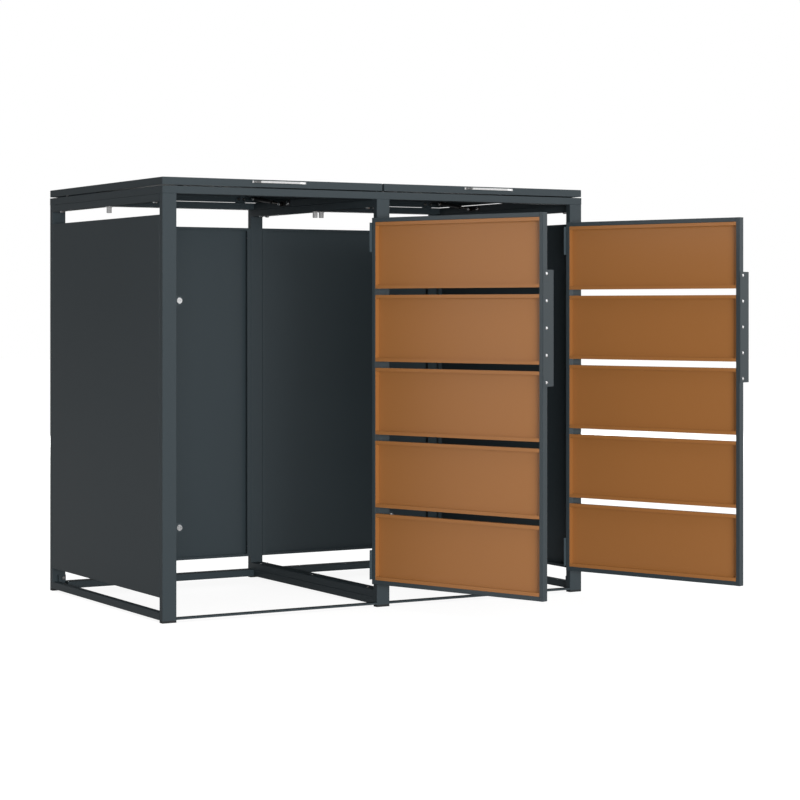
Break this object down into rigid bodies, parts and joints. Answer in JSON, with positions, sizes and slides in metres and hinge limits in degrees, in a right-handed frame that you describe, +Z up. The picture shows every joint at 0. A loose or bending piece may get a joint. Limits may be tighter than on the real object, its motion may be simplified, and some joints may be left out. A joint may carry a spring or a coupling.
{
  "type": "wheelie bin store",
  "caption": "Free-standing wheelie bin store: steel tube frame with folded sheet panels, side-hung doors filled with brown metal trays, and hinged sheet lids on gas struts.",
  "frame": {"origin": "on the floor, at the centre of the underside of the middle front foot", "axes": "+X to the right as seen from the front, +Y to the rear, +Z up"},
  "size_m": [1.4922, 1.3663, 1.16],
  "materials": {
    "frame_paint": "fine matt powder coat, anthracite grey",
    "panel_paint": "fine matt powder coat on folded sheet, anthracite grey",
    "door_paint": "fine matt powder coat, anthracite grey",
    "lid_paint": "fine matt powder coat on folded sheet, anthracite grey",
    "hinge_paint": "satin powder coat, anthracite grey",
    "tray_paint": "matt powder coat, warm brown",
    "foot_plastic": "moulded black plastic",
    "stainless": "brushed along its length",
    "rivet_metal": "bright turned aluminium",
    "magnet_metal": "nickel plated, bright",
    "bolt_metal": "zinc plated",
    "sleeve_plastic": "moulded light grey plastic",
    "buffer_rubber": "soft black rubber",
    "strut_black": "black satin paint",
    "strut_chrome": "ground and chromed",
    "bracket_zinc": "zinc plated, satin"
  },
  "bodies": {
    "frame": {"post_front_left": "frame_paint", "post_front_middle": "frame_paint", "post_front_right": "frame_paint", "post_rear_left": "frame_paint", "post_rear_middle": "frame_paint", "post_rear_right": "frame_paint", "foot_caps": "foot_plastic", "beam_front": "frame_paint", "beam_rear": "frame_paint", "beam_left": "frame_paint", "beam_middle": "frame_paint", "beam_right": "frame_paint", "rails_top": "frame_paint", "rail_bottom_middle": "frame_paint", "rails_bottom_outer": "frame_paint", "rails_bottom_inner": "frame_paint", "rails_bottom_rear": "frame_paint", "thresholds": "frame_paint", "panel_left": "panel_paint", "panel_right": "panel_paint", "panel_rear_left": "panel_paint", "panel_rear_right": "panel_paint", "frame_bolts": "bolt_metal", "sleeve_nuts": "sleeve_plastic", "catch_brackets": "frame_paint", "catch_magnets": "magnet_metal", "door_hinge_post_leaves": "hinge_paint", "lid_hinge_frame_leaves": "hinge_paint", "strut_rail_brackets": "strut_black", "lid_buffers": "buffer_rubber"},
    "door_left": {"door_left_frame": "door_paint", "door_left_tray_1": "tray_paint", "door_left_tray_2": "tray_paint", "door_left_tray_3": "tray_paint", "door_left_tray_4": "tray_paint", "door_left_tray_5": "tray_paint", "door_left_pull": "door_paint", "door_left_rivets": "rivet_metal", "door_left_hinge_leaves": "hinge_paint"},
    "lid_left": {"lid_left": "lid_paint", "lid_left_grip": "stainless", "lid_left_hinge_leaves": "hinge_paint", "lid_left_strut_stud": "bracket_zinc"},
    "strut_left_rod": {"strut_left_rod": "strut_chrome"},
    "strut_left_cylinder": {"strut_left_cylinder": "strut_black"},
    "door_right": {"door_right_frame": "door_paint", "door_right_tray_1": "tray_paint", "door_right_tray_2": "tray_paint", "door_right_tray_3": "tray_paint", "door_right_tray_4": "tray_paint", "door_right_tray_5": "tray_paint", "door_right_pull": "door_paint", "door_right_rivets": "rivet_metal", "door_right_hinge_leaves": "hinge_paint"},
    "lid_right": {"lid_right": "lid_paint", "lid_right_grip": "stainless", "lid_right_hinge_leaves": "hinge_paint", "lid_right_strut_stud": "bracket_zinc"},
    "strut_right_rod": {"strut_right_rod": "strut_chrome"},
    "strut_right_cylinder": {"strut_right_cylinder": "strut_black"}
  },
  "joints": [
    {"name": "door_left_hinge", "type": "hinge", "parent": "frame", "child": "door_left", "pos_m": [-0.023, -0.016, 0.5655], "axis": [0, 0, 1], "range_deg": [-110.2, 54.8]},
    {"name": "lid_left_hinge", "type": "hinge", "parent": "frame", "child": "lid_left", "pos_m": [-0.3305, 0.793, 1.1385], "axis": [-1, 0, 0], "range_deg": [0, 75]},
    {"name": "strut_left_pivot", "type": "hinge", "parent": "frame", "child": "strut_left_rod", "pos_m": [-0.0273, 0.554, 1.127], "axis": [1, 0, 0], "range_deg": [0, 11.62]},
    {"name": "strut_left_stroke", "type": "slide", "parent": "strut_left_rod", "child": "strut_left_cylinder", "axis": [0, 0.9919, 0.1269], "range_m": [0, 0.07197]},
    {"name": "door_right_hinge", "type": "hinge", "parent": "frame", "child": "door_right", "pos_m": [0.616, -0.016, 0.5655], "axis": [0, 0, 1], "range_deg": [-110.2, 65]},
    {"name": "lid_right_hinge", "type": "hinge", "parent": "frame", "child": "lid_right", "pos_m": [0.3305, 0.793, 1.1385], "axis": [-1, 0, 0], "range_deg": [0, 75]},
    {"name": "strut_right_pivot", "type": "hinge", "parent": "frame", "child": "strut_right_rod", "pos_m": [0.6317, 0.554, 1.127], "axis": [1, 0, 0], "range_deg": [0, 11.62]},
    {"name": "strut_right_stroke", "type": "slide", "parent": "strut_right_rod", "child": "strut_right_cylinder", "axis": [0, 0.9919, 0.1269], "range_m": [0, 0.07197]}
  ],
  "couplings": [
    {"joint": "strut_left_pivot", "follows": "lid_left_hinge", "ratio": 0.15355},
    {"joint": "strut_left_stroke", "follows": "lid_left_hinge", "m_per_rad": 0.0546},
    {"joint": "strut_right_pivot", "follows": "lid_right_hinge", "ratio": 0.15355},
    {"joint": "strut_right_stroke", "follows": "lid_right_hinge", "m_per_rad": 0.0546}
  ]
}
